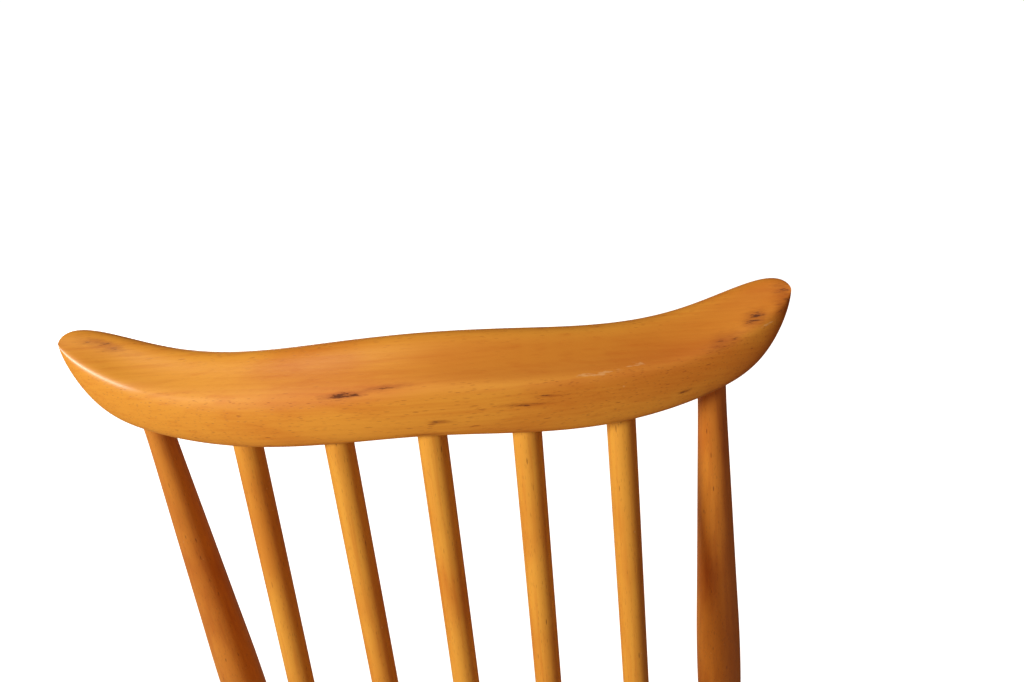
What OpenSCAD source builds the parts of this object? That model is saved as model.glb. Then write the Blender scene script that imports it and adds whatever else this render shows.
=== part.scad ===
// Comb-back rocking chair with a dished seat.
// Millimetres. +Z is up, the chair faces -Y, and +X is the sitter's left.
// The origin is on the floor, at the middle of the box around the chair.

/* [Rockers] */
// Overall length of each rocker
rocker_length = 780; // [740:10:820]
// Radius of the curve that touches the floor
rocker_radius = 1050; // [950:10:1150]
// Radius of the rockers' upper edge, larger than the floor curve so that the ends are thinner
rocker_top_radius = 1200; // [1200:10:1300]
// Height of the rocker's section where it is deepest
rocker_height = 48; // [46:1:54]
// Width of the rocker's section
rocker_width = 31; // [29:1:36]
// Distance of each rocker's middle from the centre line
rocker_x = 208; // [200:1:216]
// Y of the line where the rockers touch the floor at rest, in front of the origin
balance_y = -30.5; // [-60:0.5:-10]

/* [Seat] */
// Height of the seat's rim where the middle spindle stands in it
seat_back_z = 385; // [370:5:400]
// How far that spindle stands behind the origin
seat_back_y = 90; // [80:1:100]
// Slope of the seat down to the back, in degrees
seat_slope = 4.5; // [3:0.5:6]
// Half the seat's width
seat_half_width = 242; // [238:1:250]
// Thickness of the seat's boards
seat_thickness = 38; // [36:1:42]
// Depth of the saddling
saddle_depth = 12; // [8:1:14]
// Half the width of the middle board
board_half = 82; // [78:1:86]

/* [Back] */
// Height of the crest rail's base line, which is just above its underside
rail_z = 975; // [955:5:990]
// Rake of the long spindles from upright, in degrees
back_rake = 12; // [11:0.5:13]
// Radius of the crest rail's curve in plan
rail_radius = 600; // [560:10:650]
// Half the crest rail's length
rail_half = 218; // [216:1:222]
// Spacing of the long spindles at the crest rail
spindle_pitch = 57; // [55:0.5:58]
// Distance of each back post from the centre line at the crest rail
post_x = 171; // [169:0.5:173]
// Radius of a long spindle at the crest rail
spindle_r = 9; // [8:0.25:9.5]

/* [Hidden] */
$fn = 48;

beech = [0.86, 0.56, 0.24];
beech_dark = [0.74, 0.43, 0.16];
elm = [0.76, 0.48, 0.22];
wedge_wood = [0.46, 0.25, 0.10];

glue_gap = 0.05;      // all round a glued tenon
socket_depth = 28;    // of a spindle or post in the crest rail
seat_socket = 26;     // of a spindle or post in the seat
socket_end_gap = 1.5; // left below every blind tenon

LEFT = 1;
RIGHT = -1;

// ---------------------------------------------------------------- helpers

function unit(v) = v / norm(v);
function mix(a, b, t) = a + (b - a) * t;
function clamp01(t) = min(1, max(0, t));
function ease(t) = let (c = clamp01(t)) c * c * (3 - 2 * c);

// Turns the YZ part of a vector about X.
function tilt(v, a) = [v[0], v[1] * cos(a) - v[2] * sin(a), v[1] * sin(a) + v[2] * cos(a)];

// The value at x of a smooth curve through knots [[x, value], ...].
function knot_slope(k, i) =
    let (n = len(k) - 1)
    i == 0 ? (k[1][1] - k[0][1]) / (k[1][0] - k[0][0]) * (k[0][0] == 0 ? 0 : 1)
  : i == n ? (k[n][1] - k[n - 1][1]) / (k[n][0] - k[n - 1][0])
  : (k[i + 1][1] - k[i - 1][1]) / (k[i + 1][0] - k[i - 1][0]);
function segment_of(k, x, i = 0) = (i >= len(k) - 2 || x < k[i + 1][0]) ? i : segment_of(k, x, i + 1);
function curve(k, x) =
    let (i = segment_of(k, x),
         h = k[i + 1][0] - k[i][0],
         t = clamp01((x - k[i][0]) / h),
         a = k[i][1], b = k[i + 1][1],
         da = knot_slope(k, i) * h, db = knot_slope(k, i + 1) * h)
    a + t * (da + t * (3 * (b - a) - 2 * da - db + t * (2 * (a - b) + da + db)));

// Places a child drawn up +Z so that it runs from a to b.
module from_to(a, b) {
    d = b - a;
    translate(a) rotate([0, acos(d[2] / norm(d)), atan2(d[1], d[0])]) children();
}

// A turned piece from a to b. knots are [distance from a, radius].
module turned(a, b, knots) {
    length = norm(b - a);
    steps = [for (i = [0 : len(knots) - 2]) each
        let (flat = knots[i][1] == knots[i + 1][1], n = flat ? 1 : 4)
        [for (j = [0 : n - 1]) mix(knots[i][0], knots[i + 1][0], j / n)]];
    outline = concat([[0, 0]], [for (s = steps) [straight_or_curve(knots, s), s]],
                     [[knots[len(knots) - 1][1], length], [0, length]]);
    from_to(a, b) rotate_extrude() polygon(outline);
}
function straight_or_curve(k, x) =
    let (i = segment_of(k, x)) k[i][1] == k[i + 1][1] ? k[i][1] : curve(k, x);

// A bore of radius r from a to b.
module bore(a, b, r) {
    from_to(a, b) cylinder(r = r, h = norm(b - a));
}

// A solid skinned over closed rings of the same number of points, with flat ends.
module skin(rings) {
    n = len(rings[0]);
    m = len(rings);
    sides = [for (i = [0 : m - 2], j = [0 : n - 1]) each
        let (a = i * n + j, b = i * n + (j + 1) % n, c = a + n, d = b + n)
        [[a, b, d], [a, d, c]]];
    polyhedron(points = [for (r = rings) each r],
               faces = concat(sides,
                              [[for (j = [n - 1 : -1 : 0]) j]],
                              [[for (j = [0 : n - 1]) (m - 1) * n + j]]));
}

// ---------------------------------------------------------------- the back's geometry

// The middle of the crest rail's base line.
rail_middle = [0, seat_back_y + (rail_z - seat_back_z) * tan(back_rake), rail_z];

// A point of the back: across, behind and above the middle of that line, square to the spindles.
function back_point(across, behind, above) =
    rail_middle + [across,
                   behind * cos(back_rake) + above * sin(back_rake),
                   above * cos(back_rake) - behind * sin(back_rake)];

function rail_arc(x) = -x * x / (2 * rail_radius);

// The uprights, from the middle one (0) to the post (3).
upright_x = [0, spindle_pitch, 2 * spindle_pitch, post_x];
upright_spread = [0, -0.003, 0.015, 0.058];     // outwards, for each mm down
upright_forward = [0, 0.007, 0.027, 0.26];      // forwards, for each mm down

// The point t mm down an upright from the level of that line.
function upright(k, side, t) =
    back_point(side * (upright_x[k] + upright_spread[k] * t),
               rail_arc(upright_x[k]) - upright_forward[k] * t, -t);

// ---------------------------------------------------------------- seat frame

seat_origin = [0, seat_back_y, seat_back_z];
function in_seat(p) = tilt(p - seat_origin, seat_slope);
function from_seat(p) = seat_origin + tilt(p, -seat_slope);

// How far down an upright the seat's rim lies, and the same for any height in the seat's own frame.
function drop_to_seat(k, side, z = 0) =
    let (a = in_seat(upright(k, side, 0)), b = in_seat(upright(k, side, 100)))
    100 * (a[2] - z) / (a[2] - b[2]);

seat_centre_y = -170;
seat_rear = 202;
seat_front = 203;

// The seat's outline: a rounder curve behind, a squarer one in front.
function power(v, e) = sign(v) * pow(abs(v), e);
function seat_outline(angle, grow = 0) =
    let (e = 2 / (sin(angle) > 0 ? 2.4 : 4.2))
    [(seat_half_width + grow) * power(cos(angle), e),
     seat_centre_y + ((sin(angle) > 0 ? seat_rear : seat_front) + grow) * power(sin(angle), e)];

// The height of the seat's top in its own frame: a dished seat with a raised front middle.
function seat_top(x, y) =
    let (v = (y - seat_centre_y) / (y > seat_centre_y ? seat_rear : seat_front),
         e = v > 0 ? 2.4 : 4.2,
         r = pow(pow(abs(x) / seat_half_width, e) + pow(abs(v), e), 1 / e),
         dish = 1 - ease((r - 0.42) / 0.46),
         pommel = exp(-pow(x / 46, 2)) * ease((-v - 0.05) / 0.75),
         front_roll = ease((-v - 0.72) / 0.28))
    -saddle_depth * dish * (1 - 0.75 * pommel) - 6 * front_roll * (1 - 0.6 * pommel);

seat_rings = [0.12, 0.26, 0.4, 0.54, 0.66, 0.78, 0.88, 0.95, 0.985];
module seat_blank() {
    n = 60;
    top = [for (s = seat_rings) [for (i = [0 : n - 1])
        let (p = seat_outline(i * 360 / n), x = p[0] * s, y = seat_centre_y + (p[1] - seat_centre_y) * s)
        [x, y, seat_top(x, y)]]];
    edge = [for (e = [[0, -3.5], [0.6, -8], [0, -14], [-8, -24], [-22, -seat_thickness]])
        [for (i = [0 : n - 1])
            let (p = seat_outline(i * 360 / n, e[0]), roll = seat_top(p[0] * 0.985, p[1]))
            [p[0], p[1], e[1] + (e[1] > -20 ? roll : 0)]]];
    rings = concat(top, edge);
    m = len(rings);
    points = concat([for (r = rings) each r],
                    [[0, seat_centre_y, seat_top(0, seat_centre_y)]],
                    [[0, seat_centre_y, -seat_thickness]]);
    translate(seat_origin) rotate([-seat_slope, 0, 0])
        polyhedron(points = points, faces = concat(
            [for (i = [0 : m - 2], j = [0 : n - 1]) each
                let (a = i * n + j, b = i * n + (j + 1) % n, c = a + n, d = b + n)
                [[a, b, d], [a, d, c]]],
            [for (j = [0 : n - 1]) [m * n, (j + 1) % n, j]],
            [for (j = [0 : n - 1]) [m * n + 1, (m - 1) * n + j, (m - 1) * n + (j + 1) % n]]));
}

// ---------------------------------------------------------------- crest rail

// Heights along the rail, by distance from its middle: underside, ridge on the back, and top edge.
rail_under = [[0, -3.9], [57, -8], [114, -11.2], [150, -8.4], [180, -4.5], [205, -0.5], [219, 5]];
rail_ridge = [[0, 35], [57, 31.1], [114, 27.7], [150, 27.7], [180, 31.6], [205, 37.4], [219, 40]];
rail_top = [[0, 54], [57, 50.3], [114, 43.8], [150, 44.2], [180, 49.7], [205, 56.8], [219, 61.5]];
rail_reach = 219;  // where the curves above end
tip_height = 52;   // of the tips, above the same level
tip_behind = 9;    // of the tips, behind the rail's arc
rail_back = 18;    // from the spindles' middle to the rail's back
rail_front = 15;   // from the spindles' middle to the rail's front
rail_edge = 9;     // thickness of the rail's top edge
scoop_depth = 2.2; // of the hollow above the ridge, at its middle
rail_bulge = 1.6;  // of the face below the ridge

// The section at x, as [behind, above] points. full shrinks it to a point at the tips.
function rail_section(x) =
    let (s = min(abs(x) * (rail_reach - 1) / rail_half, rail_reach),
         full = pow(max(0, 1 - pow(s / rail_reach, 12)), 0.6),
         u0 = mix(tip_height, curve(rail_under, s), full),
         u1 = mix(tip_height, curve(rail_ridge, s), full),
         u2 = mix(tip_height, curve(rail_top, s), full),
         back = mix(tip_behind, rail_back, full), front = mix(tip_behind, -rail_front, full),
         edge = front + rail_edge * full,
         r = 5 * full, c = 3 * full, ridge = back - c)
    [[front + c, u0], [back - r, u0], [back - 0.3 * r, u0 + 0.3 * r], [back, u0 + r],
     [back + rail_bulge * full, mix(u0, u1, 0.4)], [back + rail_bulge * full, mix(u0, u1, 0.68)],
     [back + 0.8 * full, u1 - c], [back - 0.3 * full, u1], [ridge, u1 + 1.5 * full],
     for (t = [0.25, 0.5, 0.75])
        [mix(ridge, edge, t),
         mix(u1 + 1.5 * full, u2 - 0.5 * full, t) - 4 * scoop_depth * t * (1 - t) * full],
     [edge, u2 - 0.5 * full], [edge - 2.5 * full, u2], [front + 2.5 * full, u2 - 0.2 * full],
     [front + 0.4 * full, u2 - 2 * full], [front, u2 - 5 * full],
     [front - 0.5 * full, mix(u0, u2, 0.5)], [front, u0 + c], [front + 0.8 * full, u0 + c * 0.4]];

module crest_rail_blank() {
    n = 24;
    stations = [for (i = [-n : n]) rail_half * sin(90 * i / n) * 0.9998];
    skin([for (x = stations) [for (p = rail_section(x)) back_point(x, rail_arc(x) + p[0], p[1])]]);
}

module crest_rail() color(beech) difference() {
    crest_rail_blank();
    for (side = [LEFT, RIGHT], k = [0 : 3]) if (k > 0 || side == LEFT)
        bore(upright(k, side, 30), upright(k, side, -socket_depth),
             (k == 3 ? post_top_r : spindle_r) + glue_gap);
}

// ---------------------------------------------------------------- spindles and posts

post_top_r = 8.75;
post_seat_r = 12;
spindle_seat_r = 7.5;

module long_spindle(k, side) {
    rim = drop_to_seat(k, side);
    foot = rim + seat_socket - socket_end_gap;
    top = -socket_depth + socket_end_gap;
    knots = [[0, spindle_seat_r], [seat_socket + 4, spindle_seat_r], [foot * 0.24, 8.3],
             [foot * 0.42, spindle_r], [foot - top, spindle_r]];
    color(beech) turned(upright(k, side, foot), upright(k, side, top), knots);
}

module back_post(side) {
    rim = drop_to_seat(3, side);
    foot = rim + seat_socket - socket_end_gap;
    top = -socket_depth + socket_end_gap;
    knots = [[0, post_seat_r], [seat_socket + 4, post_seat_r], [foot - 480, 15.6], [foot - 390, 17.4],
             [foot - 300, 16.4], [foot - 200, 14.05], [foot - 100, 11.4], [foot - 10, post_top_r],
             [foot - top, post_top_r]];
    color(beech_dark) turned(upright(3, side, foot), upright(3, side, top), knots);
}

// ---------------------------------------------------------------- rockers

// The height above the floor of a rocker's underside and of its top at y.
function rocker_under(y) = rocker_radius - sqrt(pow(rocker_radius, 2) - pow(y - balance_y, 2));
function rocker_top(y) =
    rocker_height + rocker_top_radius - sqrt(pow(rocker_top_radius, 2) - pow(y - balance_y, 2));

rocker_end_r = 30;    // of the rounded ends
rocker_end_y = rocker_length / 2 - rocker_end_r;

// A rocker from the side: across is Y and up is Z.
module rocker_outline() intersection() {
    difference() {
        translate([balance_y, rocker_radius]) circle(r = rocker_radius, $fn = 360);
        translate([balance_y, rocker_height + rocker_top_radius]) circle(r = rocker_top_radius, $fn = 360);
    }
    union() {
        translate([-rocker_end_y, -10]) square([2 * rocker_end_y, 250]);
        for (y = [-rocker_end_y, rocker_end_y])
            translate([y, (rocker_under(y) + rocker_top(y)) / 2]) circle(r = rocker_end_r);
    }
}

module rocker(side) color(beech) difference() {
    translate([side * rocker_x - rocker_width / 2, 0, 0])
        rotate([90, 0, 90]) linear_extrude(rocker_width) rocker_outline();
    for (front = [true, false]) {
        bore(leg_foot(front, side) - leg_dir(front, side) * (foot_tenon + socket_end_gap),
             leg_foot(front, side) + leg_dir(front, side) * 30, foot_r + glue_gap);
        rocker_pin(front, side, glue_gap);
    }
}

// ---------------------------------------------------------------- legs and stretchers

leg_seat = [[166, -314], [142, -66]];     // front and rear, on the seat's underside, in its own frame
leg_foot_y = [-268, 112];                 // front and rear, on the rocker's top
foot_r = 10;
foot_tenon = 33;
leg_top_r = 13;
leg_swell_r = 18.5;
leg_swell = 0.56;                         // of the way up from the rocker

function leg_head(front, side) =
    let (p = leg_seat[front ? 0 : 1]) from_seat([side * p[0], p[1], -seat_thickness]);
function leg_foot(front, side) =
    let (y = leg_foot_y[front ? 0 : 1]) [side * rocker_x, y, rocker_top(y)];
function leg_dir(front, side) = unit(leg_head(front, side) - leg_foot(front, side));
function leg_length(front) = norm(leg_head(front, LEFT) - leg_foot(front, LEFT));
function leg_point(front, side, t) = mix(leg_foot(front, side), leg_head(front, side), t);

// Where a leg's tenon comes through the seat's top, in the seat's own frame, and the slope there.
function through_point(front, side) =
    let (p = in_seat(leg_head(front, side)), d = tilt(leg_dir(front, side), seat_slope),
         q = p + d * (seat_thickness - 8) / d[2])
    [q[0], q[1], seat_top(q[0], q[1])];
function top_normal(front, side) =
    let (p = through_point(front, side), h = 6)
    unit([seat_top(p[0] - h, p[1]) - seat_top(p[0] + h, p[1]),
          seat_top(p[0], p[1] - h) - seat_top(p[0], p[1] + h), 2 * h]);

// The end of a leg's tenon, which stands a little proud of the seat.
tenon_proud = 0.8;
function tenon_end(front, side) =
    from_seat(through_point(front, side) + top_normal(front, side) * tenon_proud);

// All that lies above the tenon's end.
module above_seat(front, side) {
    p = tenon_end(front, side);
    from_to(p, p + tilt(top_normal(front, side), -seat_slope)) translate([-40, -40, 0]) cube([80, 80, 60]);
}

stretcher_height = [0.36, 0.40];   // up the front and the rear leg
stretcher_r = [8, 12, 8];
side_tenon = 20;

function side_stretcher_end(front, side) = leg_point(front, side, stretcher_height[front ? 0 : 1]);
function side_stretcher_line(side) =
    let (a = side_stretcher_end(true, side), b = side_stretcher_end(false, side), d = unit(b - a),
         inset = leg_swell_r - 3 - side_tenon)
    [a + d * inset, b - d * inset];
function cross_line() =
    let (a = mix(side_stretcher_end(true, LEFT), side_stretcher_end(false, LEFT), 0.47),
         b = [-a[0], a[1], a[2]], d = unit(b - a))
    [a + d * 2, b - d * 2];

module stretcher_bores(side) {
    l = side_stretcher_line(side);
    d = unit(l[1] - l[0]);
    bore(l[0] - d * socket_end_gap, l[0] + d * 60, stretcher_r[0] + glue_gap);
    bore(l[1] - d * 60, l[1] + d * socket_end_gap, stretcher_r[0] + glue_gap);
}

module leg(front, side) {
    a = leg_foot(front, side) - leg_dir(front, side) * foot_tenon;
    b = leg_head(front, side) + leg_dir(front, side) * (seat_thickness + 14);
    n = leg_length(front);
    f = foot_tenon;
    color(beech_dark) difference() {
        turned(a, b, [[0, foot_r], [f + 5, foot_r], [f + n * 0.3, 15.6], [f + n * leg_swell, leg_swell_r],
                      [f + n * 0.82, 16.2], [f + n - 4, leg_top_r], [norm(b - a), leg_top_r]]);
        above_seat(front, side);
        stretcher_bores(side);
        rocker_pin(front, side, glue_gap);
        wedge(front, side);
    }
}

// A wedge across the grain of the seat, driven into each leg's end.
wedge_top = 4.2;
wedge_depth = 24;
module wedge(front, side) {
    p = tenon_end(front, side);
    d = leg_dir(front, side);
    from_to(p - d * wedge_depth, p + d * 10) rotate([0, 0, -atan2(d[1], d[0])])
        rotate([90, 0, 0]) linear_extrude(2 * leg_top_r + 6, center = true)
        polygon([[-0.4, 0], [0.4, 0],
                 [wedge_top * 0.6, wedge_depth + 10], [-wedge_top * 0.6, wedge_depth + 10]]);
}

module leg_wedges() color(wedge_wood) for (front = [true, false], side = [LEFT, RIGHT]) difference() {
    intersection() {
        wedge(front, side);
        bore(leg_head(front, side) - leg_dir(front, side) * 2,
             leg_head(front, side) + leg_dir(front, side) * (seat_thickness + 14), leg_top_r);
    }
    above_seat(front, side);
}

pin_r = 3.5;
module rocker_pin(front, side, grow = 0) {
    p = leg_foot(front, side) - leg_dir(front, side) * foot_tenon * 0.5;
    translate([side * rocker_x, p[1], p[2]]) rotate([0, 90, 0])
        cylinder(r = pin_r + grow, h = rocker_width + (grow > 0 ? 2 : 0), center = true);
}

module rocker_pins() color(wedge_wood)
    for (front = [true, false], side = [LEFT, RIGHT]) rocker_pin(front, side);

module side_stretcher(side) {
    l = side_stretcher_line(side);
    n = norm(l[1] - l[0]);
    c = cross_line();
    color(beech) difference() {
        turned(l[0], l[1], [[0, stretcher_r[0]], [side_tenon + 4, stretcher_r[0]], [n / 2, stretcher_r[1]],
                            [n - side_tenon - 4, stretcher_r[2]], [n, stretcher_r[2]]]);
        bore(c[0] + unit(c[0] - c[1]) * socket_end_gap, mix(c[0], c[1], 0.2), cross_r + glue_gap);
        bore(c[1] + unit(c[1] - c[0]) * socket_end_gap, mix(c[1], c[0], 0.2), cross_r + glue_gap);
    }
}

cross_r = 7;
module cross_stretcher() {
    c = cross_line();
    n = norm(c[1] - c[0]);
    color(beech) turned(c[0], c[1],
        [[0, cross_r], [18, cross_r], [n / 2, 11.5], [n - 18, cross_r], [n, cross_r]]);
}

// ---------------------------------------------------------------- seat boards

module seat_bores() {
    for (side = [LEFT, RIGHT]) {
        for (k = [0 : 3]) if (k > 0 || side == LEFT) {
            rim = drop_to_seat(k, side);
            bore(upright(k, side, rim + seat_socket), upright(k, side, rim - 40),
                 (k == 3 ? post_seat_r : spindle_seat_r) + glue_gap);
        }
        for (front = [true, false])
            bore(leg_head(front, side) - leg_dir(front, side) * 20,
                 leg_head(front, side) + leg_dir(front, side) * (seat_thickness + 20),
                 leg_top_r + glue_gap);
    }
}

// Three boards, edge-glued: from one x to another.
module seat_board(x0, x1) color(elm) difference() {
    intersection() {
        seat_blank();
        translate([x0, -600, 200]) cube([x1 - x0, 1000, 400]);
    }
    seat_bores();
}

// ---------------------------------------------------------------- nodes

crest_rail();
back_post(LEFT);  // back_post_left
back_post(RIGHT);  // back_post_right
long_spindle(2, LEFT);  // long_spindle_1
long_spindle(1, LEFT);  // long_spindle_2
long_spindle(0, LEFT);  // long_spindle_3
long_spindle(1, RIGHT);  // long_spindle_4
long_spindle(2, RIGHT);  // long_spindle_5
seat_board(board_half, 300);  // seat_board_left
seat_board(-board_half, board_half);  // seat_board_middle
seat_board(-300, -board_half);  // seat_board_right
leg(true, LEFT);  // front_leg_left
leg(true, RIGHT);  // front_leg_right
leg(false, LEFT);  // rear_leg_left
leg(false, RIGHT);  // rear_leg_right
side_stretcher(LEFT);  // side_stretcher_left
side_stretcher(RIGHT);  // side_stretcher_right
cross_stretcher();
rocker(LEFT);  // rocker_left
rocker(RIGHT);  // rocker_right
leg_wedges();
rocker_pins();
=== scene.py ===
"""A comb-back rocking chair: smooth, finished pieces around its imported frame. Metres, +Z up, facing -Y."""

import math
from functools import partial

import bmesh
import bpy
import numpy as np
from mathutils import Matrix, Vector


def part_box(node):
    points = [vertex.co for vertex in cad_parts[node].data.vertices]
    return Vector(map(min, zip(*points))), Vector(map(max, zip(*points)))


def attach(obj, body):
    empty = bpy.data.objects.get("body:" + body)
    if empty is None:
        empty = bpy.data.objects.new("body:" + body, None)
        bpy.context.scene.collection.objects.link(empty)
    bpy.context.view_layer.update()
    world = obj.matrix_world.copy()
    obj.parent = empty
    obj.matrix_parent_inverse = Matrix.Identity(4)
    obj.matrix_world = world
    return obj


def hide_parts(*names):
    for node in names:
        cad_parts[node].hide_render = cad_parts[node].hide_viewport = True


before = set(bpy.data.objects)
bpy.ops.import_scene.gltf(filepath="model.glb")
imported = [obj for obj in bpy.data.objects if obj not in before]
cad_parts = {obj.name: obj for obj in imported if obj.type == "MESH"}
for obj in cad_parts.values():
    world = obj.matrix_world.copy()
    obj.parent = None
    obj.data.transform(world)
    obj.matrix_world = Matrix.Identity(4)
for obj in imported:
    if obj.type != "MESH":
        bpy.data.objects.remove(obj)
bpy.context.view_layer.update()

MM = 0.001
LEFT, RIGHT = 1, -1
SIDES = {"left": LEFT, "right": RIGHT}

# ------------------------------------------------------------------ driving sizes, as the frame has them

BACK_RAKE = math.radians(12)
RAIL_RADIUS = 0.600
SEAT_SLOPE = math.radians(4.5)
SEAT_ORIGIN = np.array([0, 0.090, 0.385])
RAIL_HEIGHT = 0.975
SEAT_HALF_WIDTH = 0.242
SEAT_CENTRE_Y = -0.170
SEAT_REAR = 0.202
SEAT_FRONT = 0.203
SEAT_THICKNESS = 0.038
REAR_SQUARENESS = 2.4  # of the seat's outline, where 2 is an ellipse
FRONT_SQUARENESS = 4.2
SADDLE_DEPTH = 0.012
BOARD_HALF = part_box("seat_board_middle")[1].x
RAIL_BEHIND = (RAIL_HEIGHT - SEAT_ORIGIN[2]) * math.tan(BACK_RAKE)
RAIL_MIDDLE = np.array([0, SEAT_ORIGIN[1] + RAIL_BEHIND, RAIL_HEIGHT])
SOCKET_DEPTH = 0.0265  # above the rail's base line
SEAT_SOCKET = 0.0245  # below the seat's level top


# ------------------------------------------------------------------ small geometry helpers


def unit(v):
    return v / np.linalg.norm(v)


def ease(t):
    t = np.clip(t, 0, 1)
    return t * t * (3 - 2 * t)


def even_curve(knots):
    """The natural cubic spline of |x| through [x, value] knots, as a function of an array of x."""
    x, v = np.array(knots, float).T
    x = np.concatenate([-x[:0:-1], x])
    v = np.concatenate([v[:0:-1], v])
    n = len(x)
    h = np.diff(x)
    a = np.eye(n)
    b = np.zeros(n)
    for i in range(1, n - 1):
        a[i, i - 1 : i + 2] = h[i - 1], 2 * (h[i - 1] + h[i]), h[i]
        b[i] = 6 * ((v[i + 1] - v[i]) / h[i] - (v[i] - v[i - 1]) / h[i - 1])
    bend = np.linalg.solve(a, b)

    def value(at):
        at = np.asarray(at, float)
        i = np.clip(np.searchsorted(x, at) - 1, 0, n - 2)
        p, q = x[i + 1] - at, at - x[i]
        return (
            (bend[i] * p**3 + bend[i + 1] * q**3) / (6 * h[i])
            + (v[i] / h[i] - bend[i] * h[i] / 6) * p
            + (v[i + 1] / h[i] - bend[i + 1] * h[i] / 6) * q
        )

    return value


def rounded(outline, passes=3):
    """A closed outline with its corners cut, so that it becomes a smooth curve."""
    for _ in range(passes):
        after = np.roll(outline, -1, axis=0)
        outline = np.stack([0.75 * outline + 0.25 * after, 0.25 * outline + 0.75 * after], 1)
        outline = outline.reshape(-1, outline.shape[-1])
    return outline


def new_piece(name, points, faces):
    mesh = bpy.data.meshes.new(name)
    mesh.from_pydata([tuple(p) for p in points], [], faces)
    mesh.validate()
    piece = bpy.data.objects.new(name, mesh)
    bpy.context.scene.collection.objects.link(piece)
    return piece


def skin(name, rings):
    """A closed piece skinned over rings of the same number of points."""
    rings = np.asarray(rings)
    m, n = rings.shape[:2]
    points = rings.reshape(-1, 3)
    first, last = rings[0].mean(0), rings[-1].mean(0)
    points = np.concatenate([points, [first], [last]])
    faces = []
    for i in range(m - 1):
        for j in range(n):
            k = (j + 1) % n
            faces.append((i * n + j, i * n + k, (i + 1) * n + k, (i + 1) * n + j))
    for j in range(n):
        k = (j + 1) % n
        faces.append((m * n, k, j))
        faces.append((m * n + 1, (m - 1) * n + j, (m - 1) * n + k))
    piece = new_piece(name, points, faces)
    face_outwards(piece)
    return piece


def face_outwards(piece):
    shape = bmesh.new()
    shape.from_mesh(piece.data)
    bmesh.ops.recalc_face_normals(shape, faces=shape.faces)
    shape.to_mesh(piece.data)
    shape.free()


def smooth(piece, angle=40):
    piece.data.shade_smooth()
    piece.data.set_sharp_from_angle(angle=math.radians(angle))


def positions(piece):
    values = np.zeros(len(piece.data.vertices) * 3)
    piece.data.vertices.foreach_get("co", values)
    return values.reshape(-1, 3)


def put_vectors(piece, name, values):
    attribute = piece.data.attributes.new(name, "FLOAT_VECTOR", "POINT")
    attribute.data.foreach_set("vector", np.asarray(values, np.float32).ravel())


def put_values(piece, name, values):
    attribute = piece.data.attributes.new(name, "FLOAT", "POINT")
    attribute.data.foreach_set("value", np.asarray(values, np.float32))


def finish_piece(piece, material, node):
    piece.data.materials.clear()
    piece.data.materials.append(material)
    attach(piece, "root")
    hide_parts(node)


# ------------------------------------------------------------------ the back's and the seat's own frames


def back_points(across, behind, above):
    """Points of the back: across, behind and above the middle of the rail's base line."""
    c, s = math.cos(BACK_RAKE), math.sin(BACK_RAKE)
    across, behind, above = np.broadcast_arrays(across, behind, above)
    return RAIL_MIDDLE + np.stack([across, behind * c + above * s, above * c - behind * s], -1)


def rail_arc(x):
    """How far behind its middle the rail is at x, as it curves forward to the tips."""
    return -x * x / (2 * RAIL_RADIUS)


UPRIGHT_X = [0, 0.057, 0.114, 0.171]
UPRIGHT_SPREAD = [0, -0.003, 0.015, 0.058]
UPRIGHT_FORWARD = [0, 0.007, 0.027, 0.26]


def upright(k, side, drop):
    """The point so far down an upright from the rail's base line. 0 is the middle one and 3 a post."""
    x = UPRIGHT_X[k]
    return back_points(
        side * (x + UPRIGHT_SPREAD[k] * drop), rail_arc(x) - UPRIGHT_FORWARD[k] * drop, -drop
    )


def turn_x(v, angle):
    """Vectors turned about X."""
    v = np.asarray(v, float)
    c, s = math.cos(angle), math.sin(angle)
    return np.stack([v[..., 0], v[..., 1] * c - v[..., 2] * s, v[..., 1] * s + v[..., 2] * c], -1)


def in_seat(p):
    """Points in the seat's own frame, whose XY plane is the seat's top before it was dished."""
    return turn_x(np.asarray(p) - SEAT_ORIGIN, SEAT_SLOPE)


def from_seat(p):
    return SEAT_ORIGIN + turn_x(p, -SEAT_SLOPE)


def drop_to_seat(k, side):
    """How far down an upright meets the seat's top."""
    a, b = in_seat(upright(k, side, 0))[2], in_seat(upright(k, side, 0.1))[2]
    return 0.1 * a / (a - b)


# ------------------------------------------------------------------ nodes, written as expressions


class Wire:
    """A node's output. Sums on wires add the nodes that work them out."""

    def __init__(self, graph, socket):
        self.graph = graph
        self.socket = socket

    def calculate(self, operation, first, second=0.0):
        return self.graph.add("ShaderNodeMath", {"operation": operation}, {0: first, 1: second})

    def __add__(self, other):
        return self.calculate("ADD", self, other)

    def __radd__(self, other):
        return self.calculate("ADD", other, self)

    def __sub__(self, other):
        return self.calculate("SUBTRACT", self, other)

    def __rsub__(self, other):
        return self.calculate("SUBTRACT", other, self)

    def __mul__(self, other):
        return self.calculate("MULTIPLY", self, other)

    def __rmul__(self, other):
        return self.calculate("MULTIPLY", other, self)

    def __truediv__(self, other):
        return self.calculate("DIVIDE", self, other)

    def __rtruediv__(self, other):
        return self.calculate("DIVIDE", other, self)

    def __pow__(self, other):
        return self.calculate("POWER", self, other)

    def __rpow__(self, other):
        return self.calculate("POWER", other, self)


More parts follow.
